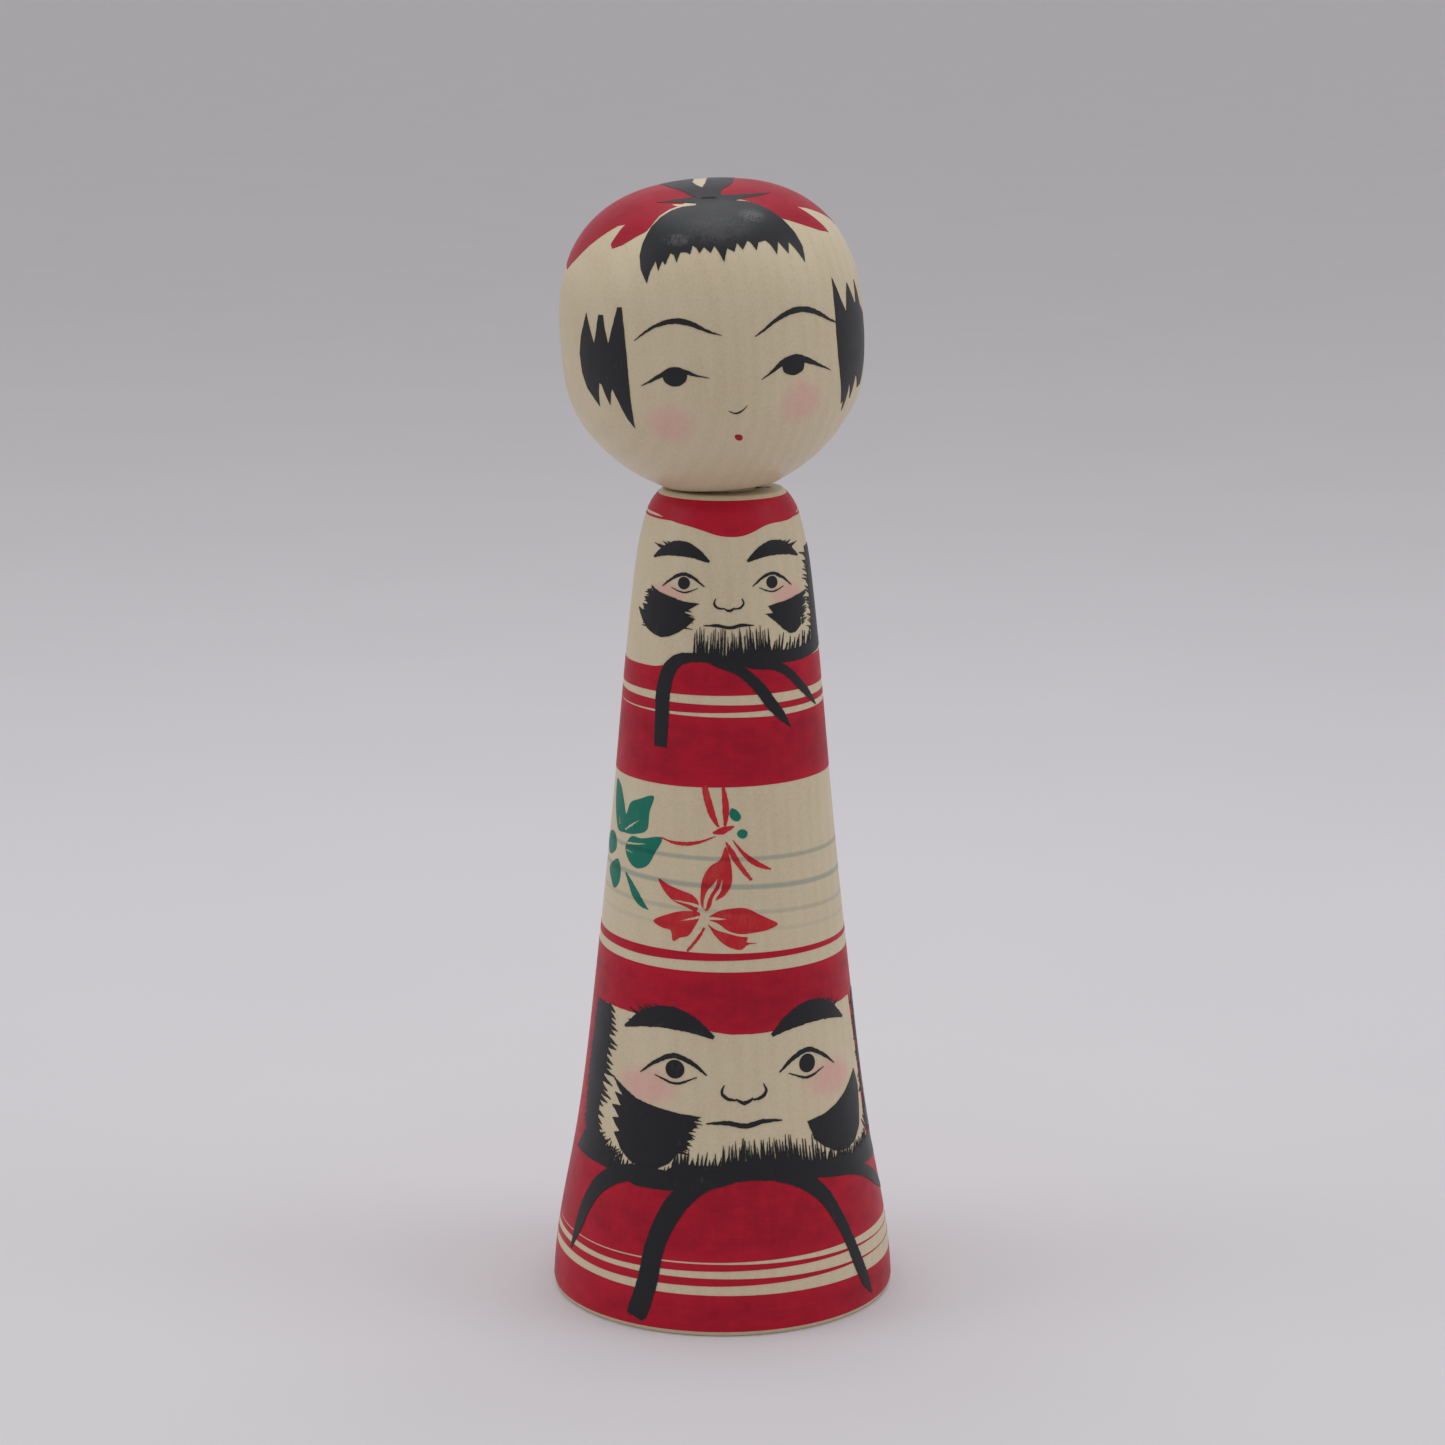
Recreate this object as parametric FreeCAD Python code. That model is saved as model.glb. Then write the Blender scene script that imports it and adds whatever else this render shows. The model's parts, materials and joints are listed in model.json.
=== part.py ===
import FreeCAD, Part
import math
import os

# A kokeshi doll: a turned wooden body with a socket in its top, and a turned
# wooden head whose neck peg sits in that socket and turns in it.
# Millimetres. +Z is up, the face looks along -Y, and the origin is the centre
# of the foot, on the surface that the doll stands on.

# Body, outside. Heights from the chest up are measured down from the neck ring.
# A lean, run or rise is the slope with which an outline leaves or arrives.
body_height = 133.1
foot_radius = 28.05
foot_bevel_height = 1.2
foot_bevel_depth = 0.4
flare_height = 24.0
flare_radius = 24.6
waist_height = 50.0
waist_radius = 21.1
chest_below_top = 48.0
chest_radius = 17.5
shoulder_below_top = 16.0
shoulder_radius = 14.45
shoulder_turn_below_top = 5.0
shoulder_turn_radius = 12.55
shoulder_edge_below_top = 1.3
shoulder_edge_radius = 10.85
neck_ring_radius = 9.6
foot_lean_in = 0.04
shoulder_run_out = 0.75

# Body, underside: turned slightly hollow, so that the doll stands on a rim.
rim_width = 6.0
hollow_depth = 0.8
hollow_run_down = 0.1

# Head, outside. Heights are along its own axis from its flat underside. Above its
# widest place it is a rounded square in outline: fullness 2 would be a plain ellipse.
head_lean = 3.9
head_height = 48.2
head_seat_radius = 8.9
jaw_height = 3.4
jaw_radius = 14.7
jaw_start_rise = 0.5
cheek_height = 10.0
cheek_radius = 20.9
widest_height = 24.5
widest_radius = 24.1
crown_fullness = 2.5
crown_points = 12

# Head, underside: turned slightly hollow round the peg.
seat_ring_width = 1.6
dish_depth = 0.5

# Neck peg of the head. Depths are below the head's underside.
peg_radius = 5.2
peg_length = 15.0
swell_rise = 0.6
swell_depth = 9.5
swell_length = 5.0
peg_end_bevel = 0.6

# Clearances between the head and the body
seat_clearance = 0.12
running_clearance = 0.06
end_clearance = 1.0
bore_reach_above_seat = 10.0

# The head leans towards -X. Its low side clears the neck ring, so the middle
# of its underside stands above the ring by what the lean takes off that side.
lean_angle = math.radians(head_lean)
seat_height = body_height + head_seat_radius * math.sin(lean_angle) + seat_clearance

FULL_TURN = 360.0
CENTRE = FreeCAD.Vector(0, 0, 0)
UP = FreeCAD.Vector(0, 0, 1)


def at(radius, height):
    """A point of an outline, in the half plane that is turned about Z."""
    return FreeCAD.Vector(radius, 0, height)


def straight(start, end):
    return Part.LineSegment(start, end).toShape()


def arc(start, middle, end):
    return Part.Arc(start, middle, end).toShape()


def smooth(points, first_direction, last_direction):
    """A smooth curve through the points, leaving and arriving in the given directions."""
    curve = Part.BSplineCurve()
    curve.interpolate(
        Points=points,
        InitialTangent=first_direction,
        FinalTangent=last_direction,
    )
    return curve.toShape()


def turned(edges):
    """A solid turned about Z from the edges of a closed outline."""
    face = Part.Face(Part.Wire(edges))
    return face.revolve(CENTRE, UP, FULL_TURN)


def seated(shape):
    """Lean a shape made upright, with the head's underside at height zero, into its seat."""
    leaning = shape.copy()
    leaning.rotate(CENTRE, FreeCAD.Vector(0, 1, 0), -head_lean)
    leaning.translate(UP * seat_height)
    return leaning


def peg_side(clearance, length, top):
    """The side and end of the peg from a height down, or of its socket with a clearance."""
    radius = peg_radius + clearance
    swell_top = -swell_depth + swell_length / 2
    swell_bottom = -swell_depth - swell_length / 2
    bevel_radius = radius - peg_end_bevel
    return [
        straight(at(radius, top), at(radius, swell_top)),
        arc(
            at(radius, swell_top),
            at(radius + swell_rise, -swell_depth),
            at(radius, swell_bottom),
        ),
        straight(at(radius, swell_bottom), at(radius, -length + peg_end_bevel)),
        straight(at(radius, -length + peg_end_bevel), at(bevel_radius, -length)),
        straight(at(bevel_radius, -length), at(0, -length)),
    ]


def make_socket():
    """The space bored for the peg, open through the neck ring."""
    depth = peg_length + end_clearance
    mouth_radius = peg_radius + running_clearance
    edges = peg_side(running_clearance, depth, bore_reach_above_seat)
    edges += [
        straight(at(0, -depth), at(0, bore_reach_above_seat)),
        straight(at(0, bore_reach_above_seat), at(mouth_radius, bore_reach_above_seat)),
    ]
    return seated(turned(edges))


def make_body():
    """A flared foot, a long taper, and a shoulder rounded over to the neck ring."""
    foot = at(foot_radius - foot_bevel_depth, 0)
    rim_inside = at(foot.x - rim_width, 0)
    outline = [
        at(foot_radius, foot_bevel_height),
        at(flare_radius, flare_height),
        at(waist_radius, waist_height),
        at(chest_radius, body_height - chest_below_top),
        at(shoulder_radius, body_height - shoulder_below_top),
        at(shoulder_turn_radius, body_height - shoulder_turn_below_top),
        at(shoulder_edge_radius, body_height - shoulder_edge_below_top),
        at(neck_ring_radius, body_height),
    ]
    edges = [
        straight(foot, outline[0]),
        smooth(outline, at(-foot_lean_in, 1), at(-1, shoulder_run_out)),
        straight(outline[-1], at(0, body_height)),
        straight(at(0, body_height), at(0, hollow_depth)),
        smooth([at(0, hollow_depth), rim_inside], at(1, 0), at(1, -hollow_run_down)),
        straight(rim_inside, foot),
    ]
    return turned(edges).cut(make_socket())


def crown_curve():
    """The head's outline from its widest place up to the middle of the crown."""
    rise = head_height - widest_height
    power = 2 / crown_fullness
    points = []
    for step in range(crown_points + 1):
        angle = math.pi / 2 * step / crown_points
        across = widest_radius * max(0.0, math.cos(angle)) ** power
        up = rise * math.sin(angle) ** power
        points.append(at(across, widest_height + up))
    points[-1] = at(0, head_height)
    return smooth(points, at(0, 1), at(-1, 0))


def make_head():
    """A round head with a full, flattish crown, and its neck peg in one piece with it."""
    jaw_points = [
        at(head_seat_radius, 0),
        at(jaw_radius, jaw_height),
        at(cheek_radius, cheek_height),
        at(widest_radius, widest_height),
    ]
    dish_radius = head_seat_radius - seat_ring_width
    edges = [
        smooth(jaw_points, at(1, jaw_start_rise), at(0, 1)),
        crown_curve(),
        straight(at(0, head_height), at(0, -peg_length)),
        straight(at(head_seat_radius, 0), at(dish_radius, 0)),
        arc(
            at(dish_radius, 0),
            at((dish_radius + peg_radius) / 2, dish_depth),
            at(peg_radius, 0),
        ),
    ]
    edges += peg_side(0.0, peg_length, 0.0)
    return seated(turned(Part.__sortEdges__(edges)))


def main():
    os.makedirs("parts", exist_ok=True)
    nodes = {"body": make_body(), "head": make_head()}
    for name, shape in nodes.items():
        shape.exportStep("parts/" + name + ".step")
        print(name, shape.isValid(), len(shape.Solids), round(shape.Volume), shape.BoundBox)


main()
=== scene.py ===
import json
import math
import random

import bpy
import numpy as np
from bpy.props import FloatProperty, FloatVectorProperty, IntProperty, PointerProperty
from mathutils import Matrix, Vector
from mathutils.geometry import delaunay_2d_cdt
from mathutils.kdtree import KDTree


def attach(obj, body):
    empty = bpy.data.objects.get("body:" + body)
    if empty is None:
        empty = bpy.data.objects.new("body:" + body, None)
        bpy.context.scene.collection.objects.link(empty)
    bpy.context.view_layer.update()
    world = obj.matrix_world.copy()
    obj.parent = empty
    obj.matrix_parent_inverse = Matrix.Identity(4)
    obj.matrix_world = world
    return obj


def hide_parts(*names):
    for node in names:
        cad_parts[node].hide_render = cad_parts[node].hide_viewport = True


bl_info = {
    "name": "Kokeshi Doll",
    "version": (1, 0, 0),
    "blender": (4, 5, 0),
    "location": "3D View > Sidebar > Kokeshi",
    "description": "Turns, paints and waxes a two-piece wooden kokeshi doll",
    "category": "Object",
}

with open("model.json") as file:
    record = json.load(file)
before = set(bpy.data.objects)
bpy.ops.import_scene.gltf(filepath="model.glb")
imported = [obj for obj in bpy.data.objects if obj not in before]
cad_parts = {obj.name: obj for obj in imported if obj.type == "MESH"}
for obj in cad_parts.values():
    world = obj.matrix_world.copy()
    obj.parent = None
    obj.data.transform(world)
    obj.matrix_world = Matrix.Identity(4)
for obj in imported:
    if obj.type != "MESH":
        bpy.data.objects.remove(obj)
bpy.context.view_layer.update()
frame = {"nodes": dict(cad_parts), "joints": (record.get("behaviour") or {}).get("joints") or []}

MM = 0.001
UP = Vector((0, 0, 1))
FRONT = Vector((0, -1, 0))
NECK_JOINT = frame["joints"][0]
NECK = Vector(NECK_JOINT["pos_m"])
HEAD_AXIS = Vector(NECK_JOINT["axis"]).normalized()
HEAD_LEAN = math.atan2(-HEAD_AXIS.x, HEAD_AXIS.z)
WELD = 0.002 * MM

# Reading the outlines off the CAD pieces: which way a face looks, then mm.
FACES_OUT = 0.02
FACES_BACK = -0.5
SAME = 0.002
MEASURE_SPACING = 0.5
HOLLOW_SPACING = 0.8
SEAT_SPACING = 0.3
SEAT_REACH = 1.0
MOUTH_DEPTH = 1.5
OUTLINE_STEP = 0.1
SMALLEST_RADIUS = 0.5

# Planning the paint on paper, in mm. The body is rolled out at one radius all the way up.
PAPER_RADIUS = 21.0
SEAM_GAP = 0.01
LATTICE_GAP = 0.45  # from an outline to the nearest lattice point, in face sizes
CDT_TOLERANCE = 1e-5
COAT_GRIP = 0.01  # how far a coat reaches into the wood
RUNG_WIDTH = 0.7
THINNEST_STROKE = 0.04
BAND_RUNG = 0.6
HAIR_GAP = 1.15  # from one hair's root to the next, in widths
HAIR_STEP = 0.05
HAIR_TIP = 0.05
HAIR_SHAPE = ((-0.14, 1.3), (0.55, 0.6))  # how far towards the tip, and how many widths wide

# How many coats up a piece of paint lies, by what it may lie over.
ON_DYE = 2
ON_WHISKERS = 2.3
ON_BEARD = 2.6
ON_MANE = 2.9


# ---------------------------------------------------------------- settings


def length_setting(name, description, default):
    return FloatProperty(name=name, description=description, default=default, unit="LENGTH")


def colour_setting(name, description, default):
    return FloatVectorProperty(name=name, description=description, default=default, subtype="COLOR")


def power_setting(name, description, default):
    return FloatProperty(name=name, description=description, default=default, unit="POWER")


class DollSizes(bpy.types.PropertyGroup):
    turning_steps: IntProperty(
        name="Turning steps", description="Faces round each turned piece", default=256, min=64
    )
    row_height: length_setting("Row height", "Height of one row of faces on the turned wood", 0.6 * MM)
    edge_easing: length_setting("Edge easing", "How far the sharp turned edges are rounded", 0.25 * MM)
    coat_height: length_setting("Coat height", "How far one coat of paint stands proud", 0.045 * MM)
    coat_faces: length_setting("Coat faces", "Size of the faces of a painted coat", 0.7 * MM)
    brush_wobble: length_setting("Brush wobble", "How far a brushed edge strays from its line", 0.05 * MM)


class DollColours(bpy.types.PropertyGroup):
    wood: colour_setting("Pale wood", "Waxed, unpainted wood", (0.66, 0.56, 0.385))
    wood_grain: colour_setting("Wood grain", "Darker grain of the unpainted wood", (0.54, 0.43, 0.275))
    red: colour_setting("Red dye", "Dye of the turned bands and robes", (0.49, 0.009, 0.028))
    red_deep: colour_setting("Deep red dye", "Where the wood drank more dye", (0.26, 0.005, 0.018))
    ribbon_red: colour_setting("Ribbon red", "Red of the ribbons on the crown", (0.40, 0.014, 0.032))
    flower_red: colour_setting("Flower red", "Thinner red of the brushed flowers", (0.52, 0.02, 0.03))
    green: colour_setting("Leaf green", "Green of the brushed leaves", (0.008, 0.17, 0.115))
    ink: colour_setting("Ink", "Black brush ink", (0.011, 0.0115, 0.014))
    blush: colour_setting("Blush", "Pink rubbed into the cheeks", (0.74, 0.30, 0.31))
    wash: colour_setting("Grey wash", "Lines behind the flowers", (0.25, 0.30, 0.26))


class StudioSettings(bpy.types.PropertyGroup):
    camera_distance: length_setting("Camera distance", "From the doll's axis to the camera", 0.600)
    camera_height: length_setting("Camera height", "Above the floor", 0.2227)
    camera_tilt: FloatProperty(
        name="Camera tilt",
        description="How far the camera looks down",
        default=math.radians(12.05),
        subtype="ANGLE",
    )
    lens: FloatProperty(name="Lens", description="Focal length", default=94.3, unit="CAMERA")
    floor_radius: length_setting("Floor radius", "Size of the paper floor", 14.0)
    floor_drop: length_setting("Floor drop", "How far the floor lies under the foot", 0.02 * MM)
    floor_colour: colour_setting("Floor colour", "Pale paper under the doll", (0.705, 0.685, 0.705))
    room_colour: colour_setting("Room colour", "Colour of the light all round", (0.97, 0.965, 0.98))
    room_light: FloatProperty(
        name="Room light", description="Strength of the light all round", default=0.55, min=0
    )
    lamp_colour: colour_setting("Lamp colour", "Colour of the three soft lamps", (0.97, 0.98, 1.0))
    lamp_aim: length_setting("Lamp aim", "Height on the doll that the lamps point at", 0.10)
    top_light: power_setting("Top light", "Power of the soft light above", 1.6)
    side_light: power_setting("Side light", "Power of each soft light beside the doll", 3.6)


def doll():
    """The doll's sizes and colours, as the panel shows them."""
    return bpy.context.scene.doll_sizes, bpy.context.scene.doll_colours


# ------------------------------------------------------- shader expressions


class Value:
    """A number that varies over a surface, for use in Python expressions."""

    def __init__(self, finish, socket):
        self.finish = finish
        self.socket = socket

    def maths(self, operation, *values):
        node = self.finish.add(
            "ShaderNodeMath", {"operation": operation}, dict(enumerate(values))
        )
        return Value(self.finish, node.outputs[0])

    def __add__(self, other):
        return self.maths("ADD", self, other)

    def __sub__(self, other):
        return self.maths("SUBTRACT", self, other)

    def __rsub__(self, other):
        return self.maths("SUBTRACT", other, self)

    def __mul__(self, other):
        return self.maths("MULTIPLY", self, other)

    def __truediv__(self, other):
        return self.maths("DIVIDE", self, other)

    def __abs__(self):
        return self.maths("ABSOLUTE", self)

    def most(self, other):
        return self.maths("MAXIMUM", self, other)

    def step(self, low, high):
        """0 below low and 1 above high, with a soft step between; falls instead if low is above high."""
        if low > high:
            return 1.0 - self.step(high, low)
        node = self.finish.add(
            "ShaderNodeMapRange",
            {"interpolation_type": "SMOOTHSTEP"},
            {"Value": self, "From Min": low, "From Max": high},
        )
        return Value(self.finish, node.outputs["Result"])

    __radd__ = __add__
    __rmul__ = __mul__


class Finish:
    """A material under construction: one shader, and the nodes that feed it."""

    def __init__(self, name, **constants):
        self.material = bpy.data.materials.new(name)
        self.material.use_nodes = True
        self.tree = self.material.node_tree
        self.shader = self.tree.nodes["Principled BSDF"]
        for socket, value in constants.items():
            self.shader.inputs[socket.replace("_", " ")].default_value = value
        self.here = self.add("ShaderNodeTexCoord").outputs["Object"]

    def add(self, kind, settings=None, inputs=None):
        """One node: its settings first, then the values or links of its sockets."""
        node = self.tree.nodes.new(kind)
        for name, value in (settings or {}).items():
            setattr(node, name, value)
        for name, value in (inputs or {}).items():
            value = getattr(value, "socket", value)
            if isinstance(value, bpy.types.NodeSocket):
                self.tree.links.new(value, node.inputs[name])
            else:
                node.inputs[name].default_value = value
        return node

    def xyz(self, place):
        split = self.add("ShaderNodeSeparateXYZ", None, {"Vector": place})
        return [Value(self, output) for output in split.outputs]

    def moved(self, place, start):
        """Places measured from another point, in metres."""
        node = self.add(
            "ShaderNodeVectorMath", {"operation": "SUBTRACT"}, {0: place, 1: tuple(start)}
        )
        return node.outputs[0]

    def own(self, name):
        """A number that the piece's own mesh carries."""
        return Value(self, self.add("ShaderNodeAttribute", {"attribute_name": name}).outputs["Fac"])

    def stretched(self, place, scale, turn=0.0):
        """Places turned about Y and stretched, for a pattern."""
        inputs = {"Vector": place, "Rotation": (0, turn, 0), "Scale": scale}
        return self.add("ShaderNodeMapping", {"vector_type": "POINT"}, inputs).outputs[0]

    def length(self, place):
        node = self.add("ShaderNodeVectorMath", {"operation": "LENGTH"}, {0: place})
        return Value(self, node.outputs["Value"])

    def noise(self, place, scale, detail=2.0, roughness=0.5):
        inputs = {"Vector": place, "Scale": scale, "Detail": detail, "Roughness": roughness}
        return Value(self, self.add("ShaderNodeTexNoise", None, inputs).outputs["Fac"])

    def blend(self, share, first, second):
        """A colour part of the way from the first to the second."""
        pair = [(*c, 1.0) if len(c) == 3 else c for c in (first, second) if not hasattr(c, "node")]
        pair = iter(pair)
        first, second = (c if hasattr(c, "node") else next(pair) for c in (first, second))
        node = self.add("ShaderNodeMix", {"data_type": "RGBA"}, {0: share, 6: first, 7: second})
        return node.outputs[2]

    def feed(self, name, value):
        self.tree.links.new(getattr(value, "socket", value), self.shader.inputs[name])

    def bump(self, height, depth):
        node = self.add("ShaderNodeBump", None, {"Height": height, "Distance": depth})
        self.feed("Normal", node.outputs["Normal"])


# ---------------------------------------------------------- turned surfaces


def corner_samples(node, foot, axis):
    """Radius, height, outward and upward facing of each corner of a CAD node's faces, in mm."""
    mesh = frame["nodes"][node].data
    corners = np.empty(len(mesh.loops), np.int32)
    mesh.loops.foreach_get("vertex_index", corners)
    places = np.empty(len(mesh.vertices) * 3)
    mesh.vertices.foreach_get("co", places)
    facing = np.empty(len(mesh.polygons) * 3)
    mesh.polygons.foreach_get("normal", facing)
    points = (places.reshape(-1, 3)[corners] - np.array(foot)) / MM
    facing = np.repeat(facing.reshape(-1, 3), 3, axis=0)
    heights = points @ np.array(axis)
    across = points - heights[:, None] * np.array(axis)
    radii = np.linalg.norm(across, axis=1)
    outward = np.sum(across * facing, axis=1) / np.maximum(radii, 1e-6)
    return radii, heights, outward, facing @ np.array(axis)


def chosen(samples, pick):
    """The outline points that pick chooses, each once."""
    keep = pick(*samples)
    return np.unique(np.round(np.stack(samples[:2], axis=1)[keep], 3), axis=0)


def thinned(points, along, spacing):
    """The points in order along the outline, none closer together than the spacing."""
    points = points[np.argsort(along, kind="stable")]
    kept = [points[0]]
    for point in points[1:]:
        if np.linalg.norm(point - kept[-1]) >= spacing:
            kept.append(point)
    if np.linalg.norm(points[-1] - kept[-1]) > 0:
        kept[-1] = points[-1]
    return np.array(kept)


def smooth_line(points, spacing):
    """Evenly spaced points on a smooth line through the given points."""
    points = np.asarray(points, float)
    steps = np.linalg.norm(np.diff(points[:, :2], axis=0), axis=1)
    along = np.concatenate([[0.0], np.cumsum(steps)])
    slopes = np.gradient(points, along, axis=0)
    places = np.linspace(0, along[-1], max(2, round(along[-1] / spacing) + 1))
    index = np.clip(np.searchsorted(along, places, side="right") - 1, 0, len(steps) - 1)
    width = steps[index][:, None]
    t = (places - along[index])[:, None] / width
    return (
        (2 * t**3 - 3 * t**2 + 1) * points[index]
        + (t**3 - 2 * t**2 + t) * width * slopes[index]
        + (3 * t**2 - 2 * t**3) * points[index + 1]
        + (t**3 - t**2) * width * slopes[index + 1]
    )


def eased(before, corner, after, radius):
    """Three points that round a corner between two neighbours."""
    corner = np.array(corner, float)
    first = corner + radius * (before - corner) / np.linalg.norm(before - corner)
    last = corner + radius * (after - corner) / np.linalg.norm(after - corner)
    return [first, (first + 2 * corner + last) / 4, last]


def body_outlines():
    """Underside, side and socket of the body, each an outline in mm."""
    samples = corner_samples("body", Vector((0, 0, 0)), UP)
    top = samples[1].max()
    rim = samples[0][samples[1] > top - SAME].max()
    outside = chosen(samples, lambda r, h, out, up: (out > FACES_OUT) & (r > rim - SAME))
    bevel_top = outside[outside[:, 0].argmax()][1]
    side = outside[outside[:, 1] >= bevel_top]
    side = thinned(side, side[:, 1], MEASURE_SPACING)
    foot = chosen(samples, lambda r, h, out, up: (up < FACES_BACK) & (h < bevel_top))
    foot = thinned(foot, foot[:, 0], HOLLOW_SPACING)
    about_head = corner_samples("body", NECK, HEAD_AXIS)
    bore = chosen(about_head, lambda r, h, out, up: (out < FACES_BACK) & (r < side[-1, 0]))
    return foot, side, thinned(bore, bore[:, 1], MEASURE_SPACING)


def head_outlines():
    """Peg, underside and outside of the head, each an outline in mm about its own axis."""
    samples = corner_samples("head", NECK, HEAD_AXIS)
    outside = chosen(samples, lambda r, h, out, up: out > FACES_OUT)
    peg = outside[outside[:, 1] < -SEAT_REACH]
    peg = thinned(peg, peg[:, 1], MEASURE_SPACING)
    under = chosen(samples, lambda r, h, out, up: (up < FACES_BACK) & (abs(h) < SEAT_REACH))
    seat = under[under[:, 1] < SAME][:, 0].max()
    under = under[under[:, 0] <= seat]
    under = thinned(under, under[:, 0], SEAT_SPACING)
    skull = outside[(outside[:, 0] >= seat) & (outside[:, 1] >= 0) | (outside[:, 1] > SEAT_REACH)]
    crown = samples[1].max()
    skull = thinned(np.vstack([skull, [0, crown]]), [*skull[:, 1], crown + 1], MEASURE_SPACING)
    return peg, under, skull


class Turning:
    """A turned surface, and where a place on it lies in the room.

    A place on the body is an azimuth in degrees and a height in mm. On the head the
    second number is the distance in mm from the middle of the crown, along the wood.
    Azimuth 0 is the front, and it grows towards +X.
    """

    def __init__(self, foot, axis, outline, from_crown):
        self.foot = np.array(foot)
        self.axis = np.array(axis)
        self.front = np.array(FRONT)
        self.right = np.array(Vector(axis).cross(FRONT))
        self.from_crown = from_crown
        fine = smooth_line(outline, OUTLINE_STEP)
        slopes = np.gradient(fine, axis=0)
        slopes /= np.linalg.norm(slopes, axis=1)[:, None]
        steps = np.linalg.norm(np.diff(fine, axis=0), axis=1)
        along = np.concatenate([[0.0], np.cumsum(steps)])
        table = np.stack([*fine.T, slopes[:, 1], -slopes[:, 0]], axis=1)
        self.table = table[::-1] if from_crown else table
        self.along = (along[-1] - along)[::-1] if from_crown else fine[:, 1]

    def look_up(self, along):
        """Radius, height, and the outward direction's two parts."""
        return [np.interp(along, self.along, column) for column in self.table.T]

    def mm_per_degree(self, along):
        return math.radians(max(self.look_up(along)[0], SMALLEST_RADIUS))

    def place(self, azimuth, along, lift=0.0):
        """Points in the room, in metres, lifted off the wood by so many mm."""
        radius, height, out, up = self.look_up(along)
        angle = np.radians(azimuth)
        radius = (radius + lift * out)[..., None]
        across = np.cos(angle)[..., None] * self.front + np.sin(angle)[..., None] * self.right
        return self.foot + MM * (radius * across + (height + lift * up)[..., None] * self.axis)

    def to_paper(self, azimuth, along):
        """Where a place lies on flat paper: rolled off the body, or seen from above the crown."""
        angle = math.radians(azimuth)
        if self.from_crown:
            return along * math.sin(angle), -along * math.cos(angle)
        return angle * PAPER_RADIUS, along

    def from_paper(self, x, y):
        if self.from_crown:
            return np.degrees(np.arctan2(x, -y)), np.hypot(x, y)
        return np.degrees(x / PAPER_RADIUS), y


# ------------------------------------------------------------ turned pieces


def start_clean():
    """Object mode, with nothing selected."""
    if bpy.context.object and bpy.context.object.mode != "OBJECT":
        bpy.ops.object.mode_set(mode="OBJECT")
    bpy.ops.object.select_all(action="DESELECT")


def picked(piece, *others):
    """Only these pieces selected, the first of them active."""
    start_clean()
    for one in (piece, *others):
        one.select_set(True)
    bpy.context.view_layer.objects.active = piece


def turned(name, outline, foot, axis, steps):
    """A solid turned on the lathe: its outline is drawn out from one point, then spun."""
    across = Vector(axis).cross(FRONT)
    outline = np.array(outline, float).tolist()
    points = [Vector(foot) + MM * (r * across + h * Vector(axis)) for r, h in outline]
    start_clean()
    bpy.ops.mesh.primitive_plane_add(size=MM, location=points[0])
    bpy.ops.object.transform_apply(location=True, rotation=False, scale=False)
    piece = bpy.context.object
    piece.name = piece.data.name = name
    bpy.ops.object.mode_set(mode="EDIT")
    bpy.ops.mesh.select_mode(type="VERT")
    bpy.ops.mesh.select_all(action="SELECT")
    bpy.ops.mesh.merge(type="CENTER")
    for here, there in zip(points, points[1:]):
        bpy.ops.mesh.extrude_region_move(TRANSFORM_OT_translate={"value": there - here})
    bpy.ops.mesh.select_all(action="SELECT")
    bpy.ops.mesh.spin(steps=steps, angle=2 * math.pi, center=foot, axis=axis)
    bpy.ops.mesh.select_all(action="SELECT")
    bpy.ops.mesh.remove_doubles(threshold=WELD)
    bpy.ops.mesh.normals_make_consistent(inside=False)
    bpy.ops.object.mode_set(mode="OBJECT")
    return piece


def finished(piece, body, material, smooth_angle=30.0):
    """Material, shading and ride of a piece that is otherwise done."""
    picked(piece)
    bpy.ops.object.shade_smooth_by_angle(angle=math.radians(smooth_angle))
    piece.data.materials.clear()
    piece.data.materials.append(material)
    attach(piece, body)
    return piece


# -------------------------------------------------------------- brush shapes


def brushed(surface, points, spacing=0.4):
    """The faces of one brush stroke through (azimuth, place, width in mm) points."""
    sizes, _ = doll()
    scale = surface.mm_per_degree(np.mean([p[1] for p in points]))
    line = smooth_line([(a * scale, v, w) for a, v, w in points], spacing)
    steps = np.gradient(line[:, :2], axis=0)
    steps /= np.linalg.norm(steps, axis=1)[:, None]
    half = np.maximum(line[:, 2], THINNEST_STROKE) / 2
    wobble = sizes.brush_wobble / MM
    stray = random.Random(round(points[0][0] * 10 + points[-1][1]))
    sides = []
    for side in (1, -1):
        bumps = np.array([stray.uniform(-wobble, wobble) for _ in line])
        width = half * (1 + bumps / np.maximum(half, 3 * wobble))
        reach = side * width[:, None] * np.stack([-steps[:, 1], steps[:, 0]], axis=1)
        local = np.array([surface.mm_per_degree(v) for v in line[:, 1]])
        sides.append(
            np.stack([line[:, 0] / scale + reach[:, 0] / local, line[:, 1] + reach[:, 1]], axis=1)
        )
    left, right = sides
    across = max(1, math.ceil(2 * half.max() / RUNG_WIDTH))
    rungs = [[a + (b - a) * t / across for t in range(across + 1)] for a, b in zip(left, right)]
    return [[*low, *reversed(high)] for low, high in zip(rungs, rungs[1:])]


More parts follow.
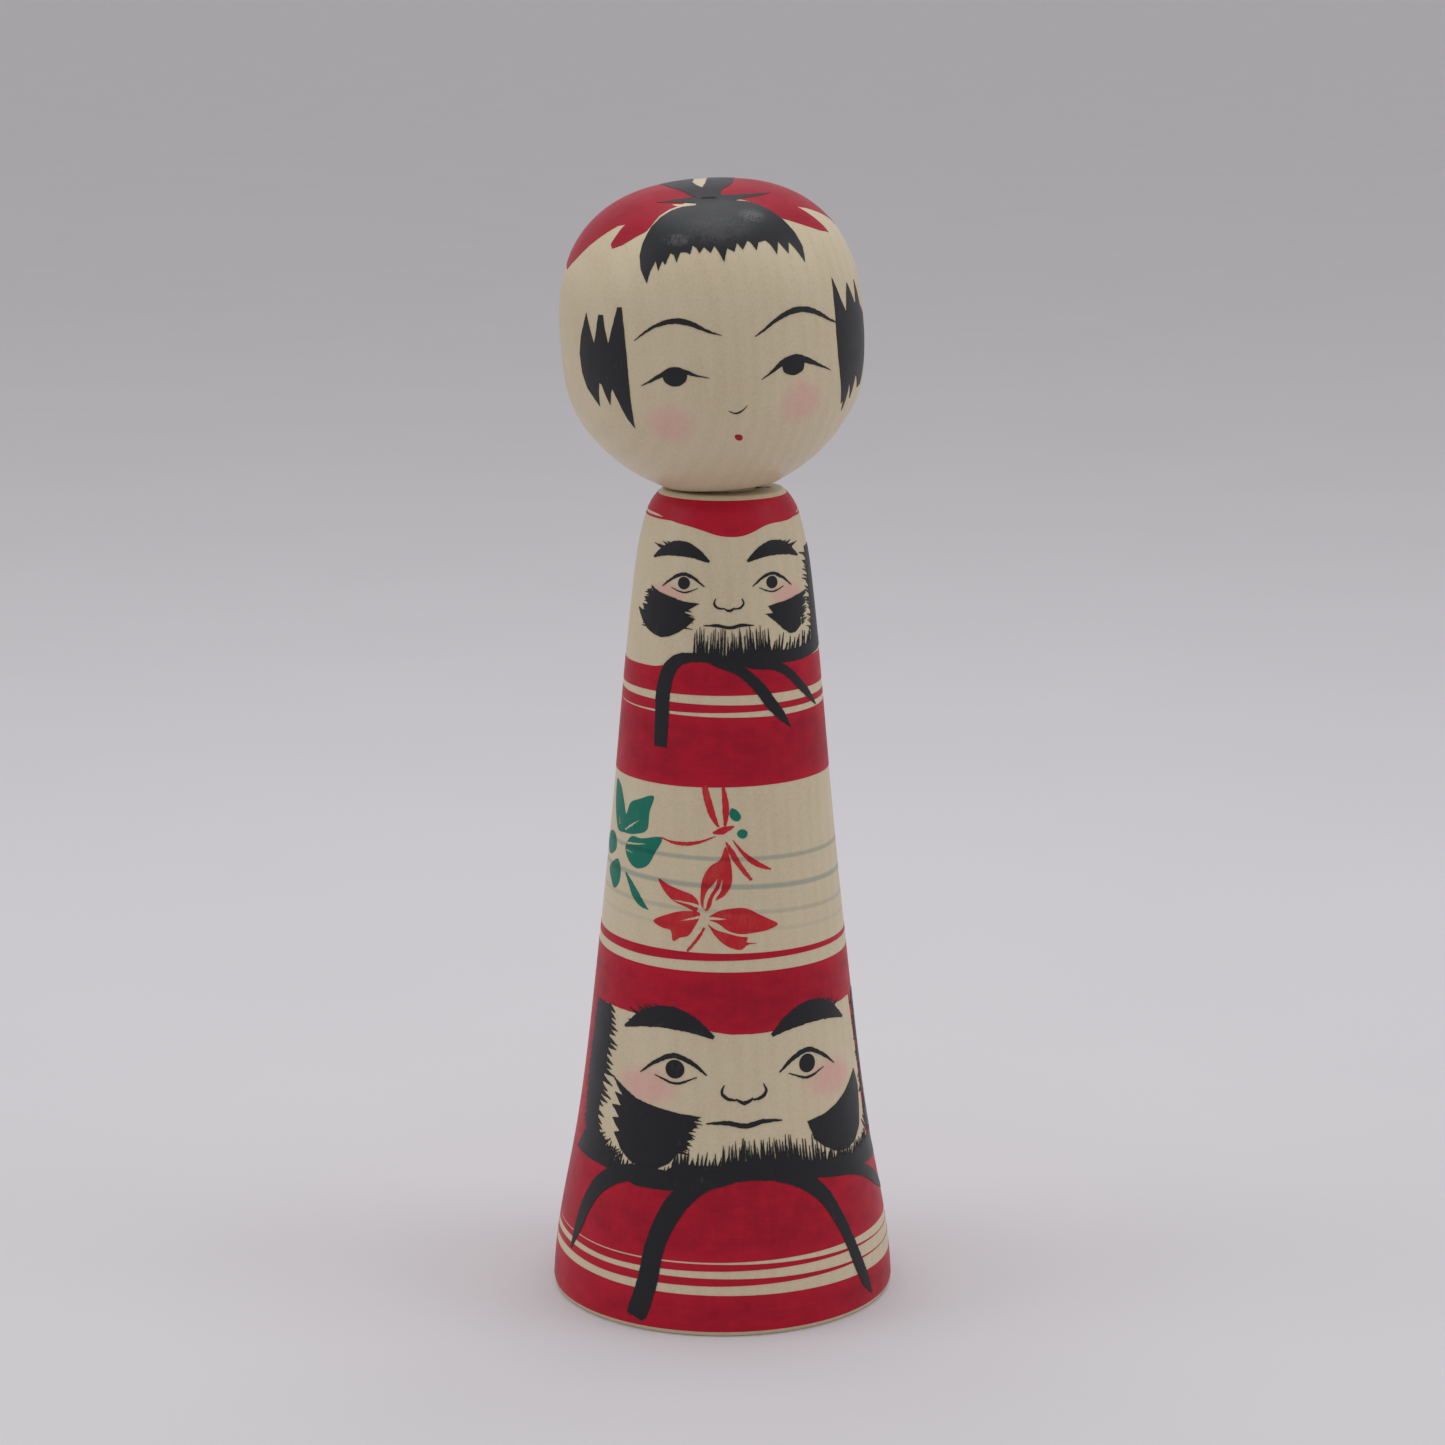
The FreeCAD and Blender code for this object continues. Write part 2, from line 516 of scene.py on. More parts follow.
def outlined(surface, points, spacing=0.5, wobble=1.0):
    """One closed outline through (azimuth, place) corners, its edges straying as a brush's do."""
    sizes, _ = doll()
    stray = random.Random(round(points[0][0] * 10 + points[-1][1]))
    reach = wobble * sizes.brush_wobble / MM
    ring = []
    for (a, v), (b, w) in zip(points, [*points[1:], points[0]]):
        scale = surface.mm_per_degree((v + w) / 2)
        count = max(1, round(math.hypot((b - a) * scale, w - v) / spacing))
        for i in range(count):
            t = i / count
            soft = stray.uniform(-reach, reach) if 0 < i < count else 0
            ring.append((a + (b - a) * t + soft / scale, v + (w - v) * t + soft))
    return [ring]


def rounded(surface, points, spacing=0.5):
    """One closed smooth outline through (azimuth, place) points."""
    flat = [surface.to_paper(a, v) for a, v in points]
    ends = np.array([*flat[-2:], *flat, *flat[:2]])
    line = smooth_line(ends, spacing)
    steps = np.linalg.norm(np.diff(ends, axis=0), axis=1)
    first, last = sum(steps[:2]) / sum(steps), sum(steps[:-1]) / sum(steps)
    count = len(line) - 1
    ring = line[round(first * count) : round(last * count)]
    return [list(zip(*surface.from_paper(*ring.T)))]


def bristles(surface, roots, reach, width, seed):
    """Tapered hairs that spring from along a line of (azimuth, place) points."""
    stray = random.Random(seed)
    scale = surface.mm_per_degree(roots[0][1])
    line = smooth_line([(a * scale, v) for a, v in roots], HAIR_STEP)
    faces = []
    gone = 0.0
    spacing = width * HAIR_GAP
    while gone < 1.0:
        x, y = line[min(int(gone * len(line)), len(line) - 1)]
        dx, dy = reach[0] * stray.uniform(0.45, 1.0), reach[1] * stray.uniform(0.45, 1.0)
        dx += stray.uniform(-0.25, 0.25)
        shape = [*[(t, w * width) for t, w in HAIR_SHAPE], (1.0, HAIR_TIP)]
        faces += brushed(surface, [((x + t * dx) / scale, y + t * dy, w) for t, w in shape])
        gone += spacing * stray.uniform(0.7, 1.5) / (HAIR_STEP * len(line))
    return faces


def strokes(surface, lines):
    """Several brush strokes, each a list of (azimuth, place, width in mm) points."""
    return [face for points in lines for face in brushed(surface, points)]


def petals(surface, outlines):
    """Several closed smooth outlines."""
    return [ring for points in outlines for ring in rounded(surface, points)]


def hairs(surface, rows):
    """Several rows of bristles: each row's roots, reach, width and seed."""
    return [face for row in rows for face in bristles(surface, *row)]


def edge(knots, step=2.0):
    """A line right round the wood through (azimuth, place) knots, softened between them."""
    around = np.arange(-180, 180 + step / 2, step)
    where, place = zip(*sorted(knots))
    line = np.interp(around, where, place, period=360)[:-1]
    soft = sum(np.roll(line, shift) for shift in range(-3, 4)) / 7
    return list(zip(around, [*soft, soft[0]]))


def band(top, bottom):
    """A band right round the wood, between two heights or two edges, its ends meeting behind."""
    top, bottom = (e if isinstance(e, list) else edge([(0, e)]) for e in (top, bottom))
    low, high = bottom[0][1], top[0][1]
    rise = np.linspace(low, high, max(2, math.ceil((high - low) / BAND_RUNG) + 1))[1:-1]
    return [[*bottom, *[(180, v) for v in rise], *reversed(top), *[(-180, v) for v in rise[::-1]]]]


def turned_towards_reader(ring):
    """The paper outline, running anticlockwise."""
    area = sum(a[0] * b[1] - b[0] * a[1] for a, b in zip(ring, [*ring[1:], ring[0]]))
    return ring if area > 0 else ring[::-1]


def painted(name, surface, body, material, shapes, bare=(), coat=1):
    """A coat of paint: shapes planned flat on paper, less the bare ones, wrapped on the wood."""
    sizes, _ = doll()
    spacing = sizes.coat_faces / MM
    points, faces = [], []
    for ring in [*shapes, *bare]:
        ring = turned_towards_reader([surface.to_paper(a, v) for a, v in ring])
        faces.append(list(range(len(points), len(points) + len(ring))))
        points += ring
    seam = math.inf if surface.from_crown else math.pi * PAPER_RADIUS - SEAM_GAP
    near = KDTree(len(points))
    for i, (x, y) in enumerate(points):
        if abs(x) < seam:
            near.insert((x, y, 0), i)
    near.balance()
    lattice = set()
    for face in faces[: len(shapes)]:
        ring = np.array([points[i] for i in face]) / spacing
        low, high = np.ceil(ring.min(0)).astype(int), np.floor(ring.max(0)).astype(int)
        lattice |= {
            (i, j) for i in range(low[0], high[0] + 1) for j in range(low[1], high[1] + 1)
        }
    for i, j in sorted(lattice):
        x, y = (i + 0.5 * (j % 2)) * spacing, j * spacing
        if near.find((x, y, 0))[2] > LATTICE_GAP * spacing:
            points.append((x, y))
    flat, _, triangles, _, _, parents = delaunay_2d_cdt(
        [Vector(p) for p in points], [], faces, 1, CDT_TOLERANCE
    )
    is_bare = set(range(len(shapes), len(faces)))
    kept = [t for t, owners in zip(triangles, parents) if owners and not is_bare & set(owners)]
    if not kept:
        raise RuntimeError(f"{name} has no painted faces")
    used = sorted({i for t in kept for i in t})
    new = {old: i for i, old in enumerate(used)}
    azimuth, along = surface.from_paper(*np.array([flat[i] for i in used]).T)
    lift = coat * sizes.coat_height / MM
    places = surface.place(azimuth, along, lift)
    mesh = bpy.data.meshes.new(name)
    mesh.from_pydata([tuple(p) for p in places], [], [[new[i] for i in t] for t in kept])
    rims = [near.find((*flat[i], 0))[2] for i in used]
    mesh.attributes.new("to_edge", "FLOAT", "POINT").data.foreach_set("value", rims)
    piece = bpy.data.objects.new(name, mesh)
    bpy.context.scene.collection.objects.link(piece)
    picked(piece)
    bpy.ops.object.mode_set(mode="EDIT")
    bpy.ops.mesh.select_all(action="SELECT")
    bpy.ops.mesh.remove_doubles(threshold=WELD)
    bpy.ops.object.mode_set(mode="OBJECT")
    bpy.ops.object.modifier_add(type="SOLIDIFY")
    wall = piece.modifiers[-1]
    wall.thickness = (lift + COAT_GRIP) * MM
    wall.offset = -1
    bpy.ops.object.modifier_apply(modifier=wall.name)
    return finished(piece, body, material)


FOOT, SIDE, BORE = body_outlines()
PEG, SEAT, SKULL = head_outlines()
BEVEL = np.linspace(FOOT[-1], SIDE[0], 5)
BODY = Turning((0, 0, 0), UP, [*BEVEL[:-1], *SIDE], from_crown=False)
HEAD = Turning(NECK, HEAD_AXIS, SKULL, from_crown=True)


# ---------------------------------------------------------------- finishes


def upright(finish, on_head):
    """Places measured from the piece's own foot, along its own axis, in metres."""
    if not on_head:
        return finish.here
    return finish.stretched(finish.moved(finish.here, NECK), (1, 1, 1), turn=HEAD_LEAN)


def grain(finish, place):
    """Growth rings and fine fibres of the wood, from 0 to 1."""
    wander = finish.noise(finish.stretched(place, (1, 1, 0.2)), 70, detail=2) - 0.5
    upright_only = finish.stretched(finish.moved(place, PITH), (1, 1, 0.03))
    phase = finish.length(upright_only) * 2400 + wander * 8
    rings = phase.maths("SINE", phase)
    fibres = finish.noise(finish.stretched(place, (1, 1, 0.035)), 1500, detail=3)
    return rings * 0.08 + 0.36 + fibres * 0.28


PITH = (0.085, 0.03, 0.0)
MONKS = {
    # azimuth of the middle of the face, then chin, crown and width of the head in mm
    "upper_monk": (4, 107.5, 131.5, 35),
    "lower_monk": (9, 26, 58, 54),
}


def monk_measures(name):
    """Middle azimuth, width and height of the eyes in mm, and mm per degree there.

    A face is five eyes wide, and the eyes lie half way up the head.
    """
    middle, chin, crown, width = MONKS[name]
    eyes_at = (crown + chin) / 2
    return middle, width / 5, eyes_at, BODY.mm_per_degree(eyes_at)


def monk_cheeks():
    """Blush on the monks' cheeks, outside and below the eyes."""
    cheeks = []
    for name in MONKS:
        middle, eye, eyes_at, degree = monk_measures(name)
        for side in (-1, 1):
            azimuth = middle + side * 1.5 * eye / degree
            cheeks.append((azimuth, eyes_at - 0.27 * eye, 0.55 * eye, 0.30 * eye, 0.5))
    return cheeks


# Dabs: azimuth, place, half width, half height and strength.
BLUSH_ON_HEAD = (
    (-18.5, 51.3, 4.1, 3.8, 0.38),
    (35, 49.2, 4.1, 3.8, 0.38),
)
# Painted sheen: light dabs on the black fringe near the top of the head, standing in for the shine of the
# lamp above.
PAINTED_SHEEN_ON_FRINGE = (
    (25, 18.5, 2.2, 1.2, 0.9),
    (-12, 22, 2.6, 1.0, 0.8),
    (6, 20.5, 5.5, 2.6, 0.35),
)
WASH_LINES = (
    # height at the front, fall towards the right over one radius, half width, strength
    (76.4, 0.4, 0.33, 0.60),
    (72.0, 0.75, 0.38, 0.66),
    (68.0, 0.9, 0.33, 0.34),
    (65.2, 0.9, 0.30, 0.17),
)


def strongest(values):
    """The greatest of several values at each place."""
    total = None
    for value in values:
        total = value if total is None else total.most(value)
    return total


def wash_lines(finish):
    """How strongly the thin grey lines behind the flowers tint each place."""
    x, _, z = finish.xyz(finish.here)

    def line(height, fall, half, strength):
        away = abs(z / MM + x * (fall / (PAPER_RADIUS * MM)) - height)
        return away.step(half * 1.6, half * 0.5) * strength

    return strongest(line(*row) for row in WASH_LINES)


def blush_and_sheen_dabs(finish, surface, spots):
    """Soft oval dabs, uneven as a dry brush leaves them: where pink is rubbed into the wood, and where
    painted sheen lies on the black ink of the fringe.
    """
    uneven = finish.noise(finish.here, 700, detail=4) * 1.1 + 0.45

    def dab(azimuth, along, half_width, half_height, strength):
        centre = surface.place(azimuth, along)
        scale = (1 / (half_width * MM), 1 / (half_width * MM), 1 / (half_height * MM))
        away = finish.length(finish.stretched(finish.moved(finish.here, centre), scale))
        return away.step(1.25, 0.45) * strength

    return strongest(dab(*spot) for spot in spots) * uneven


def wood_finish(name, surface, spots, on_head):
    """Pale waxed wood with fine grain, pink rubbed in at the spots, and the grey lines on the body."""
    _, colours = doll()
    finish = Finish(name, Coat_Weight=0.10, Coat_Roughness=0.22, Specular_IOR_Level=0.35)
    place = upright(finish, on_head)
    streaks = grain(finish, place)
    flecks = finish.noise(place, 2600, detail=2)
    cloud = finish.noise(place, 90, detail=2)
    dark = (streaks - 0.5) * 0.8 + (cloud - 0.5) * 0.5 + (flecks - 0.5) * 0.9
    colour = finish.blend(dark.step(-0.35, 0.75), colours.wood, colours.wood_grain)
    colour = finish.blend(blush_and_sheen_dabs(finish, surface, spots), colour, colours.blush)
    if not on_head:
        colour = finish.blend(wash_lines(finish), colour, colours.wash)
    finish.feed("Base Color", colour)
    finish.feed("Roughness", 0.36 + streaks * 0.12)
    finish.bump(streaks + flecks * 0.6 + lathe_marks(finish, place), 0.012 * MM)
    return finish.material


def lathe_marks(finish, place):
    """Fine rings that the turning tool and the brush leave round the piece."""
    return finish.noise(finish.stretched(place, (0.04, 0.04, 1)), 2400, detail=2)


def red_finish(name, light, deep, on_head, strength):
    """Red dye: darker where the wood drank more, brighter along its edges, streaked as the piece turned."""
    finish = Finish(name, Coat_Weight=0.06, Coat_Roughness=0.28, Specular_IOR_Level=0.12)
    place = upright(finish, on_head)
    patches = finish.noise(finish.stretched(place, (1, 1, 1.5)), 260, detail=5, roughness=0.66)
    clouds = finish.noise(place, 60, detail=1)
    rounds = lathe_marks(finish, place)
    fibres = finish.noise(finish.stretched(place, (1, 1, 0.06)), 1300, detail=3)
    dark = patches * 0.50 + clouds * 0.26 + rounds * 0.12 + fibres * 0.13
    inside = (finish.own("to_edge") + patches * 1.5).step(0.5, 3.2)
    share = dark.step(0.32, 0.70) * strength * (inside * 0.6 + 0.4)
    finish.feed("Base Color", finish.blend(share, light, deep))
    finish.feed("Roughness", 0.36 + patches * 0.14)
    finish.bump(rounds + fibres * 0.5, 0.010 * MM)
    return finish.material


def brush_finish(name, full, thin, on_head):
    """Thin brushed colour, paler where the brush ran dry or the wood shows through."""
    finish = Finish(name, Coat_Weight=0.03, Coat_Roughness=0.28, Specular_IOR_Level=0.12)
    place = upright(finish, on_head)
    pools = finish.noise(place, 420, detail=3)
    hairs = finish.noise(finish.stretched(place, (1, 1, 0.25)), 2200, detail=2)
    share = (pools * 0.7 + hairs * 0.4).step(0.45, 0.85) * 0.55
    colour = finish.blend(share, full, thin)
    if not on_head:
        shadow = tuple(0.45 * c for c in full)
        colour = finish.blend(wash_lines(finish) * 0.7, colour, shadow)
    finish.feed("Base Color", colour)
    finish.feed("Roughness", 0.36 + pools * 0.12)
    finish.bump(hairs, 0.010 * MM)
    return finish.material


def ink_finish(name, on_head):
    """Glossy black ink, with dull grey patches where the ink is waxed over, and on the head lighter painted
    sheen dabbed on the fringe.
    """
    _, colours = doll()
    shine = 0.30 if on_head else 0.24
    finish = Finish(name, Coat_Weight=0.3 * shine, Coat_Roughness=0.30, Specular_IOR_Level=shine)
    place = upright(finish, on_head)
    patches = finish.noise(place, 260, detail=4, roughness=0.6)
    hairs = finish.noise(finish.stretched(place, (1, 1, 0.2)), 2400, detail=3)
    wax_and_sheen = (patches * 0.7 + hairs * 0.35).step(0.60, 0.86) * 0.5
    if on_head:
        # Painted sheen: lighter dabs on the fringe near the top of the head, where the lamp above shines on
        # the ink.
        wax_and_sheen = wax_and_sheen.most(blush_and_sheen_dabs(finish, HEAD, PAINTED_SHEEN_ON_FRINGE) * (patches + hairs).step(0.80, 1.15))
    # The lighter grey of the wax patches, and of the painted sheen on the fringe.
    grey = tuple(0.07 + 1.4 * c for c in colours.ink)
    finish.feed("Base Color", finish.blend(wax_and_sheen, colours.ink, grey))
    finish.feed("Roughness", 0.34 + patches * 0.18)
    finish.bump(hairs + patches, 0.016 * MM)
    return finish.material


def finish_for(kind, on_head):
    """The material of that kind of paint on that piece, made once."""
    name = f"{kind}_on_{'head' if on_head else 'body'}"
    if name in bpy.data.materials:
        return bpy.data.materials[name]
    _, colours = doll()
    if kind == "ink":
        return ink_finish(name, on_head)
    if kind == "red_dye":
        return red_finish(name, colours.red, colours.red_deep, on_head, 0.85)
    if kind == "ribbon_red":
        return red_finish(name, colours.ribbon_red, colours.red_deep, on_head, 0.7)
    full, bare = (colours.green, 0.05) if kind == "green" else (colours.flower_red, 0.12)
    thin = tuple((1 - bare) * c + bare * w for c, w in zip(full, colours.wood))
    return brush_finish(name, full, thin, on_head)


def on_body(name, kind, shapes, bare=(), coat=1):
    """A coat of one kind of paint on the body."""
    return painted(name, BODY, "body", finish_for(kind, False), shapes, bare, coat)


def on_head(name, kind, shapes, bare=(), coat=1):
    """A coat of one kind of paint on the head."""
    return painted(name, HEAD, "head", finish_for(kind, True), shapes, bare, coat)


# --------------------------------------------------------------- operators


class DOLL_OT_body(bpy.types.Operator):
    """Turn the body, hollow its foot and bore the leaning socket for the head's peg"""

    bl_idname = "doll.body"
    bl_label = "Turn the body"

    def execute(self, context):
        sizes, _ = doll()
        ease = sizes.edge_easing / MM
        side = smooth_line(SIDE, sizes.row_height / MM)
        top = SIDE[-1, 1]
        outline = [
            *FOOT[:-1],
            *eased(FOOT[-2], FOOT[-1], side[0], ease),
            *eased(FOOT[-1], side[0], side[1], ease),
            *side[1:-1],
            *eased(side[-2], side[-1], (0, top), ease),
        ]
        body = turned("body_wood", outline, (0, 0, 0), UP, sizes.turning_steps)
        wall = [point for point in BORE if point[1] < -MOUTH_DEPTH]
        bore = [(0, BORE[0, 1]), *wall, (BORE[-1, 0], MOUTH_DEPTH)]
        socket = turned("socket", bore, NECK, HEAD_AXIS, sizes.turning_steps)
        bpy.ops.object.mode_set(mode="EDIT")
        bpy.ops.mesh.select_all(action="SELECT")
        bpy.ops.mesh.bisect(plane_co=(0, 0, top * MM), plane_no=UP, clear_outer=True)
        bpy.ops.object.mode_set(mode="OBJECT")
        picked(body, socket)
        bpy.ops.object.join()
        bpy.ops.object.mode_set(mode="EDIT")
        bpy.ops.mesh.select_mode(type="EDGE")
        bpy.ops.mesh.select_all(action="DESELECT")
        bpy.ops.mesh.select_non_manifold()
        bpy.ops.mesh.bridge_edge_loops()
        bpy.ops.mesh.select_all(action="SELECT")
        bpy.ops.mesh.normals_make_consistent(inside=False)
        bpy.ops.object.mode_set(mode="OBJECT")
        finished(body, "body", wood_finish("pale_wood_body", BODY, monk_cheeks(), False))
        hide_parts("body")
        return {"FINISHED"}


class DOLL_OT_head(bpy.types.Operator):
    """Turn the round head and the peg under it"""

    bl_idname = "doll.head"
    bl_label = "Turn the head"

    def execute(self, context):
        sizes, _ = doll()
        outline = [(0, PEG[0, 1]), *PEG, *SEAT[:-1]]
        skull = smooth_line(SKULL, sizes.row_height / MM)
        outline += eased(SEAT[-2], SEAT[-1], skull[1], sizes.edge_easing / MM)
        outline += [*skull[1:]]
        head = turned("head_wood", outline, NECK, HEAD_AXIS, sizes.turning_steps)
        finished(head, "head", wood_finish("pale_wood_head", HEAD, BLUSH_ON_HEAD, True))
        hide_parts("head")
        return {"FINISHED"}


class DOLL_OT_bands(bpy.types.Operator):
    """Dye the red bands and lines that run right round the body"""

    bl_idname = "doll.bands"
    bl_label = "Dye the bands"

    def execute(self, context):
        hood = edge([
            (-60, 129.9), (-40, 129.1), (-20, 128.4), (0, 127.1), (15, 127.1), (35, 128.8), (60, 128.9),
            (80, 129.8),
        ])
        on_body("shoulder_hood", "red_dye", band(132.45, hood) + band(129.5, 129.15))
        middle = band(
            edge([(-80, 106), (-40, 106.2), (-28, 107.5), (-6, 107.8), (20, 107.4), (80, 107.1),
                  (120, 106.4)]),
            102.3,
        )
        middle += band(edge([(-80, 101.2), (20, 100.7), (80, 100.9)]), edge([(-50, 99.4), (80, 99.9)]))
        middle += band(edge([(-80, 99.3), (30, 98.7), (80, 98.9)]), edge([(-25, 87.7), (55, 88)]))
        on_body("middle_bands", "red_dye", middle)
        line = band(edge([(-80, 61.8), (0, 61.3), (80, 61.1)]), edge([(-80, 60.5), (-40, 60), (40, 60.3)]))
        on_body("flower_line", "red_dye", line)
        foot = band(
            edge([(-80, 12.2), (-45, 11.8), (0, 11.8), (40, 11.4), (75, 11)]),
            edge([(-75, 11.3), (-45, 10.5), (0, 10.7), (60, 10.9)]),
        )
        foot += band(
            edge([(-75, 10.2), (-45, 9.7), (0, 9.5), (75, 8.8)]),
            edge([(-75, 9.1), (-45, 8.3), (0, 8.3), (60, 8.7)]),
        )
        foot += band(edge([(-85, 7.7), (-35, 6.9), (0, 6.8), (35, 6.6), (80, 6.2)]), 0.8)
        on_body("foot_bands", "red_dye", foot)
        robe = band(
            edge([(-80, 58.9), (-30, 58.4), (30, 58.2), (80, 58.1)]),
            edge([(-80, 12.4), (-45, 12), (0, 12.1), (40, 12.3), (75, 12.6)]),
        )
        window = outlined(
            BODY,
            [(-64, 50.4), (-30, 50.3), (-12, 49.6), (-4, 48.75), (4, 48.35), (13, 48.3), (22, 48.45),
             (30, 49.2), (44, 50.4), (76, 50.5), (80, 40), (78, 25.4), (40, 25.2), (0, 26),
             (-50, 25.3), (-64, 28)],
            wobble=0.5,
        )
        on_body("robe_red", "red_dye", robe, bare=window)
        return {"FINISHED"}


def monk_face(name, seed):
    """A calm, general face with bushy brows.

    The nose ends half way from the brow to the chin, and the mouth lies a third of the
    rest below. Points of a line are given for one side, in eye widths, with its thickness.
    """
    middle, eye, eyes_at, degree = monk_measures(name)
    chin = MONKS[name][1]
    brow_at = eyes_at + 0.70 * eye
    nose_at = (brow_at + chin) / 2
    mouth_at = nose_at - (nose_at - chin) / 3

    def line(points, thickness):
        return brushed(BODY, [(middle + x * eye / degree, z, w * thickness) for x, z, w in points])

    lines = []
    for side in (-1, 1):
        lid = [
            (0.55, -0.02, 0.3), (0.8, 0.16, 0.9), (1.05, 0.24, 1), (1.35, 0.12, 0.8), (1.62, -0.08, 0.2),
        ]
        lines += line([(side * x, eyes_at + y * eye, w) for x, y, w in lid], 0.075 * eye)
        under = [(0.70, -0.06, 0.3), (1.02, -0.17, 0.8), (1.36, -0.08, 0.3)]
        lines += line([(side * x, eyes_at + y * eye, w) for x, y, w in under], 0.045 * eye)
        turns = np.linspace(0, 6.28, 13)[:-1]
        pupil = [(1.04 + 0.15 * math.cos(t), 0.04 + 0.14 * math.sin(t)) for t in turns]
        lines += rounded(BODY, [(middle + side * x * eye / degree, eyes_at + y * eye) for x, y in pupil])
        wing = [(0.13, 0.00, 0.6), (0.26, 0.03, 1.0), (0.33, 0.12, 0.8), (0.29, 0.23, 0.3)]
        lines += line([(side * x, nose_at + y * eye, w) for x, y, w in wing], 0.05 * eye)
    tip = [(-0.13, 0.02, 0.5), (0, -0.045, 1.0), (0.13, 0.02, 0.5)]
    lines += line([(x, nose_at + y * eye, w) for x, y, w in tip], 0.055 * eye)
    lips = [(-0.55, 0.02, 0.25), (-0.25, 0.03, 0.9), (0, -0.02, 1.0), (0.25, 0.03, 0.9), (0.55, 0.02, 0.25)]
    lines += line([(x, mouth_at + y * eye, w) for x, y, w in lips], 0.075 * eye)
    on_body(f"{name}_face", "ink", lines, coat=ON_DYE)
    brows = []
    for side in (-1, 1):
        sweep = [(0.45, -0.16, 0.2), (0.8, 0.02, 1), (1.2, 0.1, 1.35), (1.6, 0.03, 1), (2, -0.16, 0.15)]
        brows += line([(side * x, brow_at + y * eye, w) for x, y, w in sweep], 0.25 * eye)
        tufts = (((1.2, 0.2), (1.75, 0.05), 0.10), ((1.7, -0.02), (1.5, -0.06), -0.04))
        for start, end, rise in tufts:
            roots = [(middle + side * x * eye / degree, brow_at + y * eye) for x, y in (start, end)]
            brows += bristles(BODY, roots, (side * 0.32 * eye, rise * eye), 0.05 * eye, seed)
    on_body(f"{name}_brows", "ink", brows, coat=ON_DYE)


class DOLL_OT_upper_monk(bpy.types.Operator):
    """Ink the small monk below the shoulder: brows, face, whiskers, beard and robe"""

    bl_idname = "doll.upper_monk"
    bl_label = "Paint the upper monk"

    def execute(self, context):
        monk_face("upper_monk", 4)
        left = outlined(BODY, [
            (-52, 118.8), (-44, 118), (-35, 117.5), (-25, 116.9), (-14.5, 116.7), (-21, 115.7),
            (-25, 115.1), (-17, 114.3), (-22, 113), (-27.5, 112), (-34, 111.2), (-40, 110.9),
            (-46, 111.2), (-52.5, 111.9), (-58, 113), (-64.5, 114.9), (-56, 114.5), (-60, 115.6),
            (-53.5, 115.7), (-58, 116.7), (-52, 116.9), (-56, 117.7), (-50, 118),
        ])
        right = outlined(BODY, [
            (27.5, 114.9), (33, 114.9), (29.5, 116.1), (36, 116.4), (45, 116.7), (55, 117.2), (68, 117.6),
            (60, 116.4), (65, 115.9), (58, 115.1), (62, 114.2), (56, 113.4), (56.5, 112.4), (50, 111.4),
            (45, 111.4), (39, 112.4), (34, 113.6),
        ])
        left += hairs(BODY, [
            ([(-24, 115.6), (-27, 112.6)], (2.2, -0.5), 0.35, 41),
            ([(-52, 112.3), (-52, 118.2)], (-2, -0.2), 0.4, 42),
        ])
        right += bristles(BODY, [(58, 112.6), (60, 117)], (2, 0.2), 0.4, 43)
        on_body("upper_monk_whiskers", "ink", left + right, coat=ON_DYE)
        beard = hairs(BODY, [
            ([(-17, 108.2), (0, 108.3), (30, 108)], (-0.1, 4.6), 0.4, 5),
            ([(-14, 108.2), (28, 108)], (0.1, 5.4), 0.32, 6),
            ([(30, 108.2), (50, 108.2), (78, 108.8)], (1, 3.6), 0.45, 7),
            ([(72, 110), (74, 116), (74, 123.5)], (-3.2, 1), 0.5, 8),
        ])
        beard += outlined(BODY, [
            (70, 108.5), (71, 112), (72, 117), (73, 121), (74, 124.2), (92, 124.2), (96, 116), (94, 108.5),
        ])
        beard += bristles(BODY, [(94, 109.5), (95.5, 116), (91.5, 123.8)], (1.5, -0.5), 0.5, 9)
        on_body("upper_monk_beard", "ink", beard, coat=ON_WHISKERS)
        robe = strokes(BODY, [
            [(-36, 93.6, 2.5), (-36, 98, 2.6), (-35.8, 103, 2.7), (-33, 105.8, 2.5), (-27, 107.6, 2),
             (-18, 108.2, 1.5), (-6, 108.2, 1.4)],
            [(-10, 108.3, 1.1), (0, 107.4, 1.7), (8, 106.6, 1.7), (15, 105.2, 1.7), (22, 103.2, 1.9),
             (28, 100.9, 1.9), (34, 98.9, 1.6), (41, 96.6, 0.2)],
            [(6, 108, 1.2), (20, 107.2, 1.8), (32, 106.7, 1.6), (42, 105.2, 1.5), (50, 103.2, 1.5),
             (58, 101.2, 1.2), (66, 99.1, 0.2)],
            [(-5, 107.9, 1), (20, 108.1, 1.8), (50, 107.9, 2), (75, 108.4, 1.9), (94, 108.6, 1.2)],
        ])
        on_body("upper_monk_robe", "ink", robe, coat=ON_BEARD)
        return {"FINISHED"}


